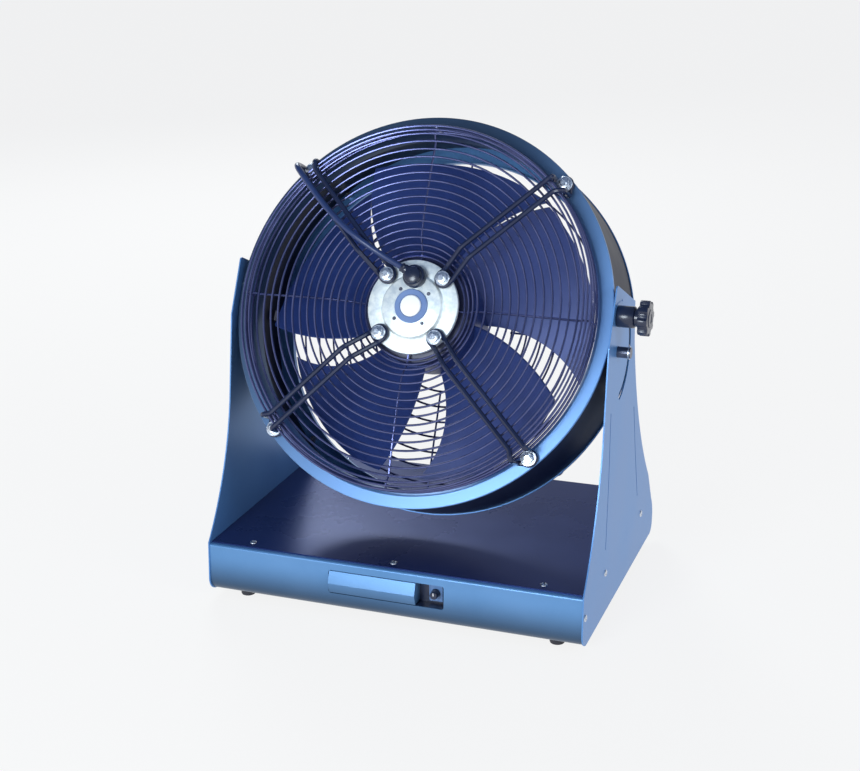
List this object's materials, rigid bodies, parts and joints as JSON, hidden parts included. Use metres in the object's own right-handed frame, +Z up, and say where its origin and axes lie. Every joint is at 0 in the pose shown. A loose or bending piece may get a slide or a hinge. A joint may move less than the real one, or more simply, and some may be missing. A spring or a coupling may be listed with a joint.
{
  "type": "drum fan",
  "caption": "Tilting drum fan: a wire-guarded drum with motor arms hangs on trunnions between two side panels on a sheet-metal base with a control recess and a side clamp knob",
  "frame": {"origin": "on the floor, under the middle of the whole width and depth; the middle plane between the side panels is at x = -17.4 mm", "axes": "+Z up, the open front of the drum faces -Y, the clamp knob is at +X"},
  "size_m": [0.4958, 0.3385, 0.5464],
  "materials": {
    "blue_paint": "smooth semi-gloss powder coat on steel sheet",
    "navy_wire": "dark blue lacquer on steel wire and rod",
    "dark_shell": "dark coat on rolled steel sheet",
    "zinc": "bright zinc plate",
    "motor_grey": "cast and lightly polished",
    "black_plastic": "moulded, fine grain",
    "white_plastic": "moulded, smooth",
    "blade_coat": "dark blue coat on formed sheet",
    "black_rubber": "soft black rubber",
    "steel_dark": "oiled turned steel"
  },
  "bodies": {
    "stand": {"base_pan": "blue_paint", "blanking_strip": "blue_paint", "clamp_bush": "black_plastic", "control_tray": "black_plastic", "cover_plate": "blue_paint", "cover_screws": "zinc", "rubber_foot_front_left": "black_rubber", "rubber_foot_front_right": "black_rubber", "rubber_foot_rear_left": "black_rubber", "rubber_foot_rear_right": "black_rubber", "run_capacitor": "white_plastic", "side_panel_left": "blue_paint", "side_panel_right": "blue_paint", "side_screws_left": "zinc", "side_screws_right": "zinc", "speed_regulator": "black_plastic", "switch_plate": "black_plastic", "terminal_block": "black_plastic"},
    "drum": {"drum_wall": "dark_shell", "front_ring": "blue_paint", "rear_ring": "blue_paint", "trunnion_right": "steel_dark", "trunnion_left": "steel_dark", "guide_pin_right": "steel_dark", "guide_pin_left": "steel_dark", "retaining_ring_right": "zinc", "retaining_ring_left": "zinc", "front_guard": "navy_wire", "rear_guard": "navy_wire", "arm_upper_right": "navy_wire", "arm_upper_left": "navy_wire", "arm_lower_left": "navy_wire", "arm_lower_right": "navy_wire", "rim_washers": "zinc", "rim_bolts": "zinc", "hub_washers": "zinc", "hub_bolts": "zinc", "rear_guard_washers": "zinc", "rear_guard_bolts": "zinc", "motor_flange": "motor_grey", "stator_core": "steel_dark", "bearing_cartridge": "steel_dark", "hub_ring": "motor_grey", "hub_cap": "white_plastic", "cable_gland": "black_plastic", "motor_cable": "black_rubber", "cable_grommet": "black_rubber"},
    "impeller": {"rotor_can": "motor_grey", "motor_shaft": "steel_dark", "fan_blades": "blade_coat"},
    "clamp": {"clamp_knob": "black_plastic", "clamp_screw": "steel_dark"},
    "speed_control": {"speed_knob": "black_plastic"}
  },
  "joints": [
    {"name": "drum_tilt", "type": "hinge", "parent": "stand", "child": "drum", "pos_m": [-0.0174, -0.0339, 0.3105], "axis": [-1, 0, 0], "range_deg": [-31, 63]},
    {"name": "impeller_spin", "type": "hinge", "parent": "drum", "child": "impeller", "pos_m": [-0.0174, -0.0499, 0.344], "axis": [0, -0.8957, 0.4446], "continuous": true},
    {"name": "clamp_turn", "type": "hinge", "parent": "stand", "child": "clamp", "pos_m": [0.2111, -0.0369, 0.3525], "axis": [1, 0, 0], "range_deg": [0, 360]},
    {"name": "speed_turn", "type": "hinge", "parent": "stand", "child": "speed_control", "pos_m": [0.0361, -0.1534, 0.0453], "axis": [0, 1, 0], "range_deg": [0, 270]}
  ]
}
